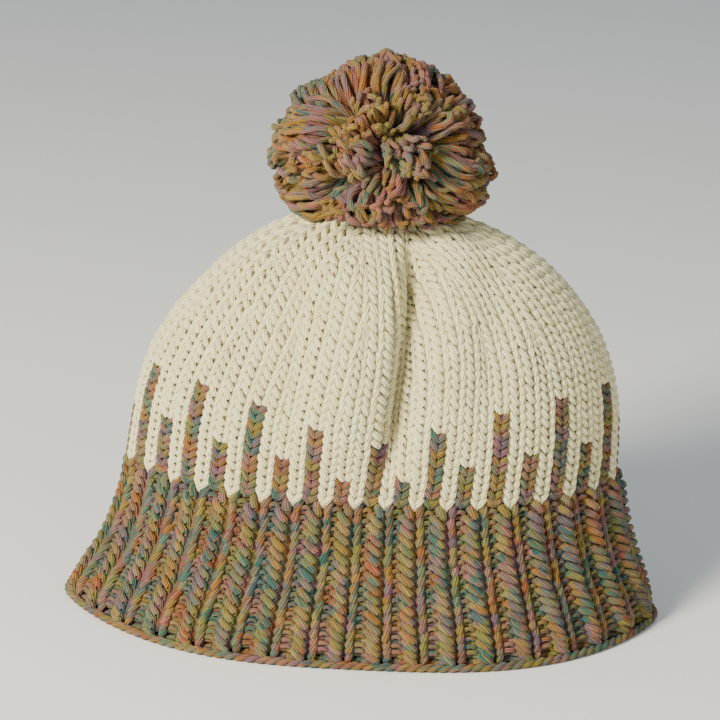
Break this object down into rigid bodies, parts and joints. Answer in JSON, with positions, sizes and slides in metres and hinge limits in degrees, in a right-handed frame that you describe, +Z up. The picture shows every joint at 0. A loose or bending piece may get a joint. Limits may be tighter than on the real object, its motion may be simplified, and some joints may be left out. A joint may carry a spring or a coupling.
{
  "type": "bobble hat",
  "caption": "Knitted bobble hat: domed crown with coloured drips, flared ribbed band with a cast-on edge, and a yarn bobble on top, open below for a head.",
  "frame": {"origin": "on the floor, in the middle of the rim that the hat rests on", "axes": "+Z up through the bobble, +X to the hat's right-hand side in the picture, -Y towards the front with the crease"},
  "size_m": [0.2554, 0.14, 0.2393],
  "materials": {
    "cream_yarn": "matt plied wool yarn, knitted, natural cream",
    "mixed_yarn": "matt plied wool yarn, knitted, marled rust, mustard, green, teal and pink",
    "bobble_yarn": "cut plied wool yarn, marled rust, mustard, green, teal and pink"
  },
  "bodies": {
    "root": {"cast_on_edge": "mixed_yarn", "rib_band": "mixed_yarn", "drip_band": "cream_yarn", "crown": "cream_yarn", "bobble": "bobble_yarn"}
  },
  "joints": []
}
